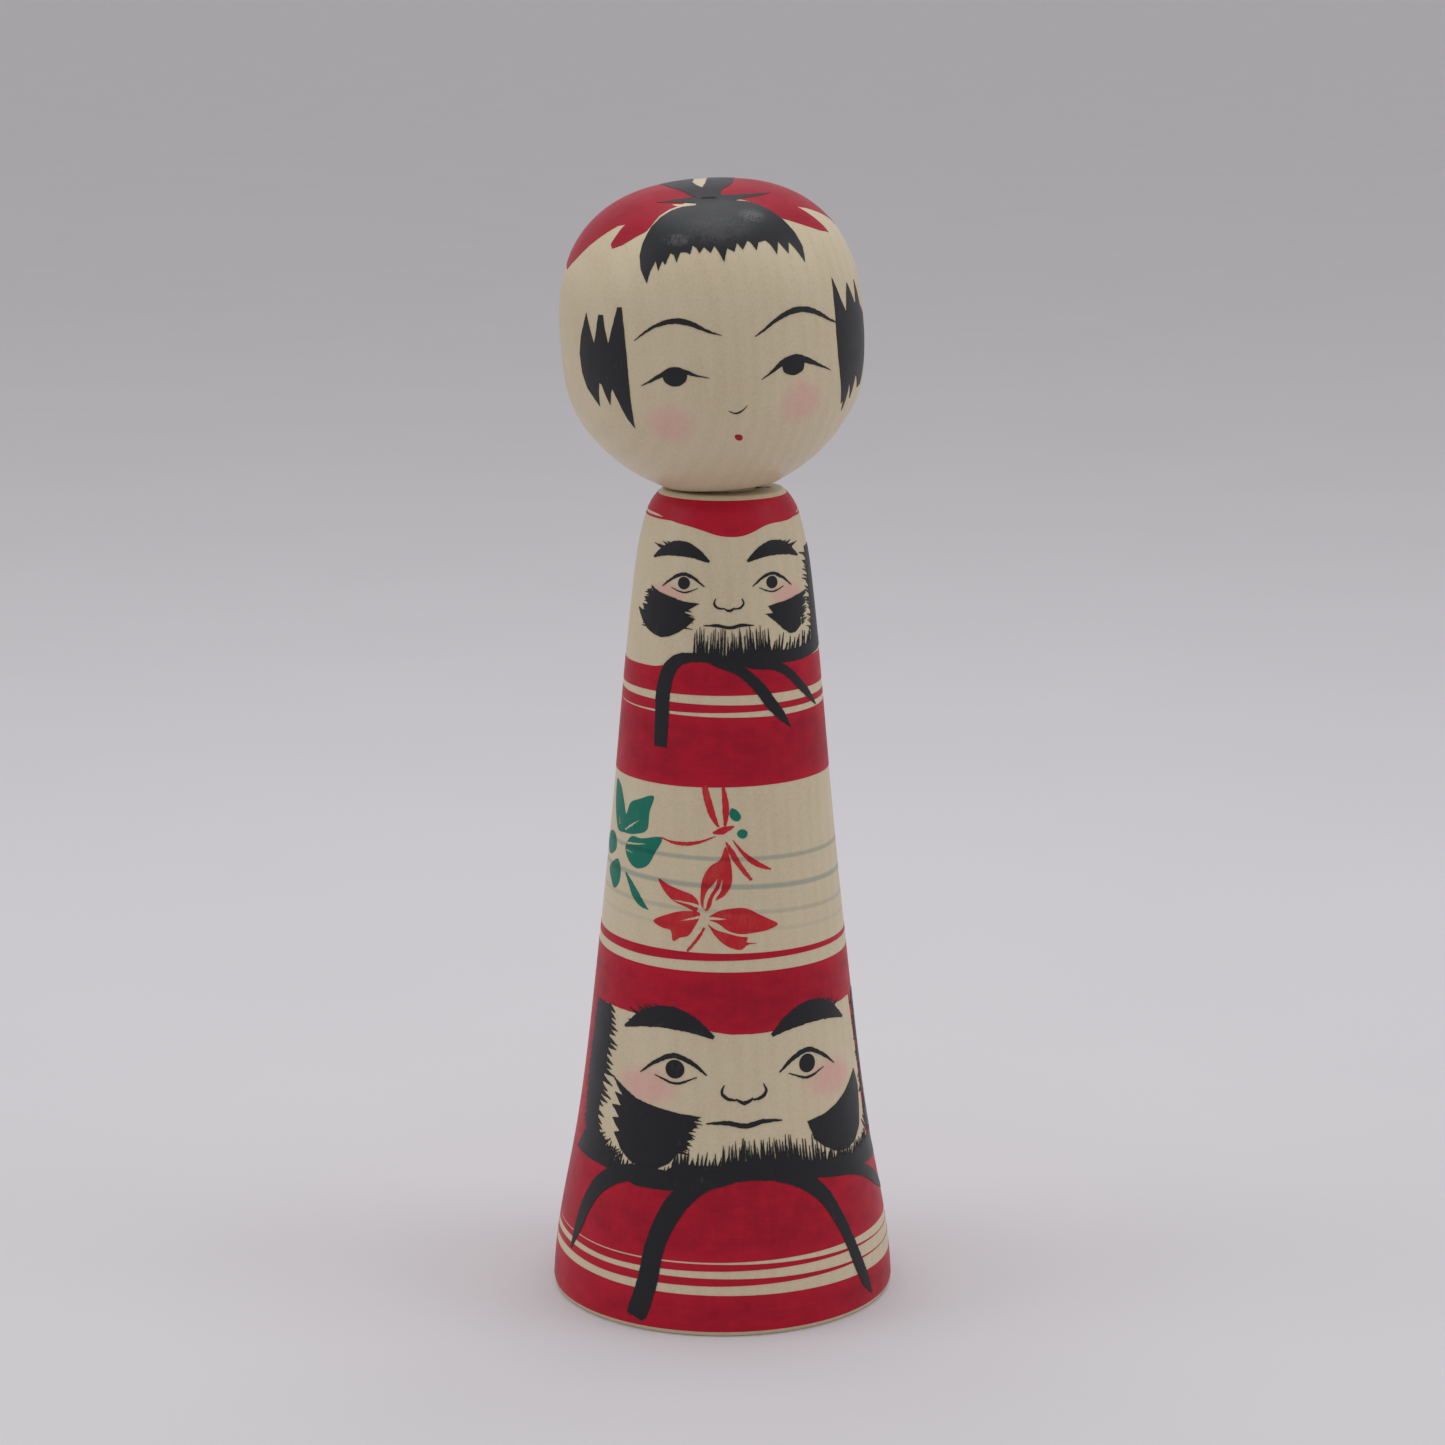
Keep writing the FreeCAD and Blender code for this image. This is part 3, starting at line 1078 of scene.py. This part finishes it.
class DOLL_OT_flowers(bpy.types.Operator):
    """Brush the red and green flowers on the pale band"""

    bl_idname = "doll.flowers"
    bl_label = "Paint the flowers"

    def execute(self, context):
        green = petals(BODY, [
            [(-60, 78.5), (-68, 78.6), (-72, 80.2), (-76, 83), (-76.5, 86.3), (-70, 85.8), (-63, 83.2),
             (-60, 81.5), (-57, 83.4), (-49, 84.6), (-38.5, 85.4), (-41, 83), (-42, 80), (-50, 78.9)],
            [(-58, 76.2), (-54, 78.2), (-46, 78.4), (-32, 78.9), (-36, 76.5), (-40, 74.4), (-48, 73.5),
             (-54, 74.3)],
            [(-68, 75.8), (-76, 73.9), (-88, 75.5), (-80, 77.5), (-70, 77.2)],
            [(-64, 73.8), (-70, 73.2), (-76, 71.5), (-72, 70.2), (-66, 69), (-61.5, 70.3), (-61.5, 72.8)],
        ])
        leaf = brushed(BODY, [
            (-56, 72.2, 0.3), (-52, 71.1, 0.9), (-47, 69.3, 1.5), (-43, 68.2, 1.2), (-38, 67.3, 0.15),
        ])
        slits = strokes(BODY, [
            [(-60, 79, 0.3), (-53, 80.3, 0.3), (-48, 81.2, 0.05)],
            [(-57, 77, 0.35), (-48, 77.4, 0.25), (-42, 77.7, 0.05)],
            [(-57, 75.9, 0.25), (-51, 75.7, 0.05)],
            [(-66, 79.5, 0.35), (-70, 81.5, 0.05)],
        ])
        on_body("green_flower", "green", green + leaf, bare=slits)
        buds = petals(BODY, [
            [(3.6, 83.9), (4.6, 84.5), (6, 84.4), (8.2, 83.9), (9.6, 82.9), (8.2, 82.4), (5.8, 82.5),
             (4.2, 82.9)],
            [(7.2, 80.4), (8.6, 81), (10.6, 81.1), (12.9, 80.5), (12.4, 79.9), (10.4, 79.6), (8.4, 79.8)],
        ])
        on_body("green_buds", "green", buds)
        stalks = strokes(BODY, [
            [(-9.6, 88, 0.9), (-7.4, 85.4, 1.2), (-4.6, 83, 0.9), (-2, 81.5, 0.3)],
            [(0.3, 87.9, 0.5), (1.4, 85.6, 0.95), (1.7, 83.6, 1), (1.3, 81.6, 0.35)],
            [(-5, 80.6, 0.25), (-1, 80.8, 1.1), (2.5, 81.2, 0.9), (6, 81.6, 0.15)],
            [(-33, 79.2, 0.15), (-26, 78.7, 0.45), (-19, 78.6, 0.6), (-12, 79, 0.45), (-3.5, 80, 0.12)],
            [(1.8, 79.1, 0.3), (5, 77.2, 0.9), (9, 75.1, 0.8), (14.3, 72.9, 0.5)],
            [(5.2, 79.4, 0.15), (10, 77.4, 0.6), (17, 75.5, 0.9), (24.5, 74.4, 0.3)],
        ])
        on_body("red_stalks", "flower_red", stalks)
        red = petals(BODY, [
            [(-12, 68), (-18, 68.6), (-24, 69.3), (-29, 70.6), (-33, 72.6), (-27, 71.8), (-20, 71.1),
             (-14, 70.4), (-11.5, 69.4)],
            [(-10.5, 67.6), (-18, 67.9), (-26, 67.2), (-34.5, 65.6), (-29, 64.8), (-25, 64.6),
             (-23.5, 62.9), (-20, 63.6), (-16.5, 63.9), (-13, 65.6)],
            [(-9.6, 68.6), (-10.6, 71), (-9.4, 73.5), (-5.5, 75.4), (-1.5, 76.2), (1.6, 78.4),
             (3.6, 76.6), (4.6, 74.6), (4.2, 72.2), (1, 70.6), (-4, 69.6), (-8, 68.1)],
            [(-7, 66.9), (-3, 67.9), (4, 68.5), (12, 68.4), (17, 67.5), (22, 66.6), (27, 65.5),
             (22, 64.8), (15, 64.5), (8, 64.4), (3, 64.9), (-2, 66.1)],
            [(-7.5, 66.1), (-3, 65.1), (2, 64.6), (8, 64), (12, 63.7), (11, 63.2), (16, 62.8), (11, 62.5),
             (9.5, 62), (4, 62.2), (0, 63), (-4, 64.4)],
        ])
        stem = brushed(BODY, [(-8.5, 65.4, 0.25), (-11, 63.9, 0.5), (-16.5, 61.5, 0.35)])
        slits = strokes(BODY, [
            [(-10, 68.6, 0.5), (-17, 69.2, 0.35), (-25, 69.5, 0.05)],
            [(-9.5, 67.2, 0.4), (-14, 66.8, 0.35), (-20, 66.3, 0.05)],
            [(-8.6, 68.4, 0.4), (-7, 70.8, 0.75), (-4, 72.2, 0.5), (-2.5, 73.2, 0.05)],
            [(-5.5, 68.4, 0.1), (-4, 70, 0.5), (-1, 71.8, 0.35), (0, 73.2, 0.05)],
            [(-8, 66.9, 0.5), (-2, 66.9, 0.4), (2, 66.8, 0.05)],
            [(-8.3, 66.1, 0.5), (-5.5, 64.9, 0.35), (-4, 64.2, 0.05)],
        ])
        on_body("red_flower", "flower_red", red + stem, bare=slits)
        return {"FINISHED"}


class DOLL_OT_lower_monk(bpy.types.Operator):
    """Ink the large monk on the foot of the body: brows, face, whiskers, beard and robe"""

    bl_idname = "doll.lower_monk"
    bl_label = "Paint the lower monk"

    def execute(self, context):
        monk_face("lower_monk", 9)
        left = outlined(BODY, [
            (-52, 39.3), (-46, 38.2), (-38, 36.8), (-28, 36), (-18, 35.4), (-8.5, 35.1), (-12, 34.1),
            (-10, 33.6), (-13.5, 32.5), (-11.5, 31.6), (-15, 30.9), (-13.5, 29.9), (-17.5, 29),
            (-21, 27.2), (-26, 26.1), (-32, 25.8), (-38, 26.6), (-43, 27.9), (-48, 30.4), (-45, 30.8),
            (-50, 32.6), (-46, 33), (-51, 34.7), (-45.5, 34.9), (-50, 36.8), (-45, 36.6), (-49, 38),
        ])
        right = outlined(BODY, [
            (36, 33.1), (45, 33.6), (53, 34.5), (60, 35.7), (72, 38.4), (75, 35.2), (73, 32), (70, 29.2),
            (64, 27.4), (57, 26.6), (49, 27.2), (43, 28.6), (38.5, 30.1), (37.5, 31.6),
        ])
        left += bristles(BODY, [(-17, 29.3), (-12.5, 34.8)], (2.4, -0.5), 0.45, 44)
        on_body("lower_monk_whiskers", "ink", left + right, coat=ON_DYE)
        beard = hairs(BODY, [
            ([(-19, 27.2), (-5, 26.8), (10, 27.4)], (0.2, 2.7), 0.5, 11),
            ([(0, 27.2), (12, 27.8), (26, 27.6), (44, 26.4)], (0.1, 4.2), 0.42, 12),
            ([(4, 27.4), (14, 27.9), (32, 27.2)], (-0.2, 4), 0.3, 13),
            ([(40, 26.3), (60, 25.4), (76, 26)], (0.4, 2.4), 0.45, 14),
            ([(-52, 27.3), (-40, 25.4), (-24, 25), (-16, 26.4)], (0.5, 1.9), 0.45, 15),
        ])
        beard += outlined(BODY, [
            (-54, 28), (-46, 25.9), (-38, 25.2), (-24, 25.4), (-18, 27.3), (-8, 27.3), (2, 27.5), (8, 28),
            (14, 28.2), (22, 28), (30, 27.3), (40, 26.5), (58, 25.5), (70, 25.6), (84, 27), (90, 22),
            (74, 22.6), (60, 23.4), (40, 24), (34, 23.9), (24, 24.4), (12, 24.9), (0, 24.6), (-10, 23.6),
            (-20, 23), (-34, 22.9), (-46, 24.2), (-60, 24.7), (-76, 24.8), (-70, 28.4), (-60, 29.4),
        ])
        on_body("lower_monk_beard", "ink", beard, coat=ON_WHISKERS)
        mane = outlined(BODY, [
            (-59, 50.4), (-57.5, 47), (-58, 43), (-59, 39), (-60, 35), (-60, 31), (-55, 28.2),
            (-46, 26.2), (-60, 24.7), (-68, 26.6), (-71, 31), (-74, 38), (-74, 45), (-72, 50.2),
        ])
        mane += hairs(BODY, [
            ([(-59.5, 50), (-58.5, 44), (-59.5, 38), (-61, 31), (-57, 28.5)], (3.2, -0.8), 0.85, 21),
            ([(-57, 29), (-50, 27), (-44, 26)], (1.8, 1.4), 0.5, 22),
            ([(-70.5, 30), (-73.5, 38), (-72, 49.5)], (-1.3, -0.5), 0.7, 25),
            ([(96, 29), (99.5, 38), (97.5, 49.5)], (2, -0.8), 0.8, 26),
        ])
        mane += outlined(BODY, [
            (82, 50.2), (84, 44), (83, 38), (84, 31), (86, 26), (97, 28), (100, 38), (98, 50),
        ])
        mane += hairs(BODY, [
            ([(84, 49.5), (85, 43), (84, 36), (85, 27)], (-3, -0.8), 0.6, 23),
            ([(78, 27.6), (84, 30)], (-2, 2.2), 0.5, 24),
        ])
        on_body("lower_monk_mane", "ink", mane, coat=ON_BEARD)
        robe = strokes(BODY, [
            [(-20, 25.2, 1.6), (-36, 24.9, 2.6), (-46, 23.4, 3), (-54, 20.6, 3), (-59, 17, 2.7),
             (-62, 13, 2), (-65, 9.2, 0.3)],
            [(4, 25.6, 2), (-8, 24.4, 3), (-16, 21.6, 3.6), (-21, 18, 3.5), (-24.5, 13.2, 3.4),
             (-26, 8.5, 3.5), (-28.4, 4.3, 3.6), (-29.6, 2.8, 3.5), (-30.2, 2.1, 2.8)],
        ])
        robe += bristles(BODY, [(-32.6, 2.9), (-30, 2.4), (-27.2, 2.6)], (-0.2, -0.8), 0.6, 47)
        robe += strokes(BODY, [
            [(20, 25.6, 2), (32, 23.9, 2.8), (40, 21, 2.6), (46, 16.8, 2.3), (50.5, 12.2, 2.2),
             (54, 8, 2.3), (57, 4.9, 2), (60.5, 2.3, 0.3)],
            [(30, 25.2, 1.8), (46, 24.2, 1.8), (58, 23.3, 2), (70, 21.3, 2.2), (80, 18.6, 2.2),
             (92, 15.5, 0.4)],
            [(-48, 25.4, 1.5), (-60, 25.3, 1.6), (-76, 25, 0.2)],
        ])
        on_body("lower_monk_robe", "ink", robe, coat=ON_MANE)
        return {"FINISHED"}


def from_above(points):
    """Places on the crown given as mm to the right and to the back of its middle."""
    return [(math.degrees(math.atan2(x, -y)), math.hypot(x, y)) for x, y in points]


class DOLL_OT_hair(bpy.types.Operator):
    """Ink the fringe, the topknot and the locks beside the face"""

    bl_idname = "doll.hair"
    bl_label = "Paint the hair"

    def execute(self, context):
        fringe = outlined(HEAD, [
            (-4, 14.9), (-12, 15.1), (-18, 15.9), (-23, 17.4), (-26.5, 19.6), (-28.2, 22.5),
            (-28.3, 24.5), (-26.8, 26.8), (-23.7, 29), (-22.6, 27.2), (-20.7, 25.5), (-19.2, 27.1),
            (-17.8, 25.5), (-16.5, 26.2), (-14.6, 24.3), (-13, 24.7), (-11.8, 25.9), (-10.4, 24.3),
            (-8, 24.3), (-6.2, 24.7), (-5.2, 23.2), (-3.6, 23.7), (-2.4, 24.6), (-0.4, 23.6), (2.2, 24.7),
            (4, 23.5), (5.4, 24.5), (7.3, 26.3), (9.3, 24.1), (12, 24.8), (13.8, 23.3), (15.7, 24.6),
            (18.5, 23.1), (19.8, 23.5), (21.5, 24.9), (23.2, 23.6), (26.8, 23.4), (28.4, 24.2),
            (30, 25.9), (32.4, 23.8), (35.4, 26), (37.6, 24.1), (39.6, 25.4), (42.2, 27.7), (43.8, 25.2),
            (43.2, 22.6), (41.2, 20.2), (38, 18), (33.5, 16.2), (29, 15.1), (22, 14.5), (14, 14.2),
            (13.6, 12.6), (4, 11.8), (-3.5, 12.6),
        ], wobble=0.4)
        tie = outlined(HEAD, [
            (-3.4, 12.2), (-12, 12.6), (-22, 13), (-32, 13.6), (-22, 13.75), (-12, 13.9), (-3, 14.4),
        ], wobble=0.3)
        tie += outlined(HEAD, [
            (13.5, 12.3), (26, 12.7), (40, 13), (54, 13.4), (40, 13.8), (28, 14), (14, 14.6),
        ], wobble=0.3)
        on_head("fringe", "ink", fringe + tie, coat=ON_DYE)
        left = rounded(HEAD, from_above([
            (-0.9, -12.2), (-3.2, -9), (-5, -5.4), (-6.2, -1.5), (-6.6, 2.5), (-5.8, 5.6), (-4.3, 6.6),
            (-2.9, 5.9), (-1.9, 4.4), (-1.4, 2.6), (-1.3, 0), (-1.5, -2.4), (-1.2, -5), (-0.2, -7.9),
            (1.1, -9.6), (0.6, -11.6),
        ]))
        right = rounded(HEAD, from_above([
            (2.9, -12.2), (3, -10.4), (4.4, -7.2), (4.9, -4.5), (5, -1), (5.2, 2.4), (4.7, 5.2),
            (3.3, 6.2), (2.2, 5.4), (1.3, 4), (0.9, 2.4), (0.8, 0), (0.7, -2.8), (0.6, -5.2), (0.2, -8),
            (0.2, -10.8),
        ]))
        neck = outlined(HEAD, from_above([
            (-0.8, -13.6), (-0.8, -11.6), (-0.4, -9.6), (2.3, -9.2), (2.9, -11.2), (3.1, -13.6),
        ]), wobble=0.3)
        on_head("topknot", "ink", left + right + neck, coat=ON_DYE)
        locks = outlined(HEAD, [
            (-53, 33.6), (-54.5, 35.2), (-57, 37.4), (-58.7, 40), (-58.2, 43), (-56, 45.4), (-53, 46.8),
            (-50.4, 48.2), (-49.3, 46), (-48.2, 44.4), (-46.8, 44.6), (-45.4, 46.4), (-44, 47.9),
            (-42.6, 46), (-41.4, 45.2), (-39.4, 47.2), (-37.2, 50), (-35, 51.8), (-33.9, 49), (-33.2, 45),
            (-33, 40), (-33.4, 36), (-34.3, 32.6), (-36.3, 32.6), (-38, 34.8), (-40, 37), (-41.2, 38.3),
            (-42.6, 36), (-43.4, 33.8), (-45.8, 33.8), (-47, 36), (-48.8, 38.4), (-50.4, 36.6),
        ], wobble=0.5)
        locks += outlined(HEAD, [
            (54.8, 30.8), (53.6, 34), (53.2, 39), (53.8, 43), (55.2, 46), (58, 49.6), (59.4, 50.9),
            (60.4, 50.2), (62.4, 52.3), (63, 47.6), (64.6, 48.6), (66.4, 50.4), (68.4, 46.6),
            (70.4, 47.2), (73, 49), (77, 48.6), (80.6, 44.6), (82.6, 40.6), (81.6, 37.6), (76.5, 36),
            (73.4, 32), (71.2, 35.6), (69.6, 35.4), (65.3, 32.1), (63.2, 33.6), (61.2, 36.6), (58.4, 34.6),
        ], wobble=0.5)
        on_head("side_locks", "ink", locks, coat=ON_DYE)
        return {"FINISHED"}


class DOLL_OT_ribbons(bpy.types.Operator):
    """Brush the red ribbons that fan out over the crown"""

    bl_idname = "doll.ribbons"
    bl_label = "Paint the ribbons"

    def execute(self, context):
        left = outlined(HEAD, [
            (-2.5, 11.6), (-8, 13.2), (-14, 14.6), (-20, 15.6), (-24.5, 17.2), (-28, 20.2), (-34, 21.6),
            (-39, 22.8), (-44, 23.4), (-46, 22.6), (-44.5, 20.2), (-43, 18.8), (-48, 19.2), (-54, 20.8),
            (-61, 22.8), (-70, 25.6), (-78, 27.4), (-84, 26.8), (-90, 24), (-94, 22.4), (-104, 24.6),
            (-114, 24.8), (-118, 21.4), (-124, 19.8), (-134, 21.4), (-142, 20.2), (-148, 15), (-150, 9),
            (-130, 6.2), (-100, 4.5), (-60, 5), (-30, 6.5), (-10, 8.8),
        ], wobble=0.6)
        sliver = outlined(HEAD, [
            (-20.5, 14.15), (-12, 14.3), (-5, 14.3), (-5, 14.95), (-12, 15.1), (-17, 14.75),
        ], wobble=0.3)
        on_head("left_ribbon", "ribbon_red", left, bare=sliver)
        right = outlined(HEAD, [
            (12, 11.7), (20, 13.4), (30, 15), (36, 17.4), (40, 19.6), (47, 20.8), (55, 22.2), (61, 23.1),
            (67.5, 23.7), (66.8, 22.4), (64.5, 20.7), (61.5, 19), (59, 17.9), (66, 18.5), (76, 20),
            (84, 21.4), (92, 23), (100, 23.8), (104, 22), (101, 19.4), (110, 20.2), (122, 22.2),
            (132, 21.2), (140, 17.4), (148, 12), (148, 8), (120, 5), (90, 4), (50, 5.5), (22, 8.6),
        ], wobble=0.6)
        on_head("right_ribbon", "ribbon_red", right)
        return {"FINISHED"}


class DOLL_OT_face(bpy.types.Operator):
    """Ink the doll's own face: brows, eyes, nose and the red mouth"""

    bl_idname = "doll.face"
    bl_label = "Paint the face"

    def execute(self, context):
        brows = strokes(HEAD, [
            [(-29.2, 37.7, 0.08), (-24, 36.3, 0.35), (-18, 35.2, 0.62), (-12.5, 34.9, 0.88),
             (-6, 35.6, 0.75), (-1, 36.7, 0.42), (4, 37.5, 0.06)],
            [(16.2, 38.1, 0.15), (20, 37.2, 0.35), (25, 35.9, 0.62), (30.5, 35, 0.86), (36, 34.8, 0.92),
             (43, 35.6, 0.75), (49, 36.9, 0.42), (54.5, 37.9, 0.06)],
        ])
        on_head("brows", "ink", brows, coat=ON_DYE)
        eyes = strokes(HEAD, [
            [(-28, 44.7, 0.06), (-23.5, 43.9, 0.4), (-18.5, 42.9, 0.75), (-14.5, 42.4, 0.9),
             (-10, 42.8, 0.7), (-6, 43.4, 0.3), (-1.5, 43.9, 0.05)],
            [(17.8, 44.8, 0.06), (22.5, 43.6, 0.45), (27, 42.4, 0.9), (31, 42, 1), (36, 42.5, 1),
             (41, 43.4, 0.6), (49.2, 44.9, 0.05)],
        ])
        for middle, low in ((-14.3, 44.9), (30.9, 44.7)):
            eyes += rounded(HEAD, [
                (middle - 4.7, 42.9), (middle - 4.3, 43.9), (middle - 2.4, low - 0.25), (middle, low),
                (middle + 2.4, low - 0.25), (middle + 4.3, 43.9), (middle + 4.7, 42.9),
                (middle + 2.6, 42.1), (middle, 41.9), (middle - 2.6, 42.1),
            ], spacing=0.3)
        on_head("eyes", "ink", eyes, coat=ON_DYE)
        nose = brushed(HEAD, [
            (4.8, 49.3, 0.06), (6.8, 49.75, 0.2), (8.6, 49.75, 0.24), (10.2, 49.4, 0.18), (12, 48.7, 0.05),
        ])
        on_head("nose", "ink", nose, coat=ON_DYE)
        mouth = rounded(HEAD, [
            (7, 54.1), (7.6, 53.8), (8.6, 53.75), (9.8, 53.95), (10.5, 54.4), (10.1, 54.85), (9, 54.95),
            (7.6, 54.6),
        ], spacing=0.2)
        on_head("mouth", "ribbon_red", mouth, coat=ON_DYE)
        return {"FINISHED"}


class DOLL_OT_studio(bpy.types.Operator):
    """Lay the pale paper floor and set up the soft lights and the camera"""

    bl_idname = "doll.studio"
    bl_label = "Set up the studio"

    def execute(self, context):
        studio = context.scene.doll_studio
        start_clean()
        bpy.ops.mesh.primitive_circle_add(
            vertices=96,
            radius=studio.floor_radius,
            fill_type="NGON",
            location=(0, 0, -studio.floor_drop),
        )
        floor = context.object
        floor.name = "paper_floor"
        bpy.ops.object.transform_apply(location=True, rotation=False, scale=False)
        paper = Finish("floor_paper", Roughness=0.85, Specular_IOR_Level=0.2)
        mottle = paper.noise(paper.here, 14, detail=3)
        darker = tuple(0.96 * c for c in studio.floor_colour)
        paper.feed("Base Color", paper.blend(mottle, studio.floor_colour, darker))
        floor.data.materials.append(paper.material)
        world = bpy.data.worlds.new("pale_room")
        world.use_nodes = True
        sky = world.node_tree.nodes["Background"]
        sky.inputs["Color"].default_value = (*studio.room_colour, 1)
        sky.inputs["Strength"].default_value = studio.room_light
        context.scene.world = world
        context.scene.view_settings.view_transform = "Standard"
        lamps = (
            ("top_light", studio.top_light, 0.5, (0, 0.10, 0.75)),
            ("left_light", studio.side_light, 0.9, (-1.4, -0.25, 1.0)),
            ("right_light", studio.side_light, 0.9, (1.4, -0.25, 1.0)),
        )
        for name, power, size, place in lamps:
            bpy.ops.object.light_add(type="AREA", location=place)
            lamp = context.object
            lamp.name = name
            lamp.data.energy = power
            lamp.data.size = size
            lamp.data.color = studio.lamp_colour
            aim = Vector((0, 0, studio.lamp_aim)) - Vector(place)
            lamp.rotation_euler = aim.to_track_quat("-Z", "Y").to_euler()
        bpy.ops.object.camera_add(
            location=(0, -studio.camera_distance, studio.camera_height),
            rotation=(math.pi / 2 - studio.camera_tilt, 0, 0),
        )
        camera = context.object
        camera.data.lens = studio.lens
        camera.data.sensor_width = 36
        camera.data.clip_start = 0.01
        camera.data.clip_end = 100
        context.scene.camera = camera
        return {"FINISHED"}


class DOLL_PT_panel(bpy.types.Panel):
    """Sizes, colours and steps of the doll"""

    bl_idname = "DOLL_PT_panel"
    bl_label = "Kokeshi Doll"
    bl_space_type = "VIEW_3D"
    bl_region_type = "UI"
    bl_category = "Kokeshi"

    def draw(self, context):
        for group in (context.scene.doll_sizes, context.scene.doll_colours, context.scene.doll_studio):
            box = self.layout.box()
            for name in group.__annotations__:
                box.prop(group, name)
        for step in STEPS:
            self.layout.operator(step.bl_idname)


STEPS = (
    DOLL_OT_body,
    DOLL_OT_head,
    DOLL_OT_bands,
    DOLL_OT_upper_monk,
    DOLL_OT_flowers,
    DOLL_OT_lower_monk,
    DOLL_OT_ribbons,
    DOLL_OT_hair,
    DOLL_OT_face,
    DOLL_OT_studio,
)
GROUPS = {"doll_sizes": DollSizes, "doll_colours": DollColours, "doll_studio": StudioSettings}


def register():
    for cls in (*GROUPS.values(), *STEPS, DOLL_PT_panel):
        bpy.utils.register_class(cls)
    for name, group in GROUPS.items():
        setattr(bpy.types.Scene, name, PointerProperty(type=group))


def unregister():
    for name in GROUPS:
        delattr(bpy.types.Scene, name)
    for cls in (DOLL_PT_panel, *STEPS, *GROUPS.values()):
        bpy.utils.unregister_class(cls)


def main():
    register()
    for step in STEPS:
        group, name = step.bl_idname.split(".")
        getattr(getattr(bpy.ops, group), name)()


if __name__ == "__main__":
    main()
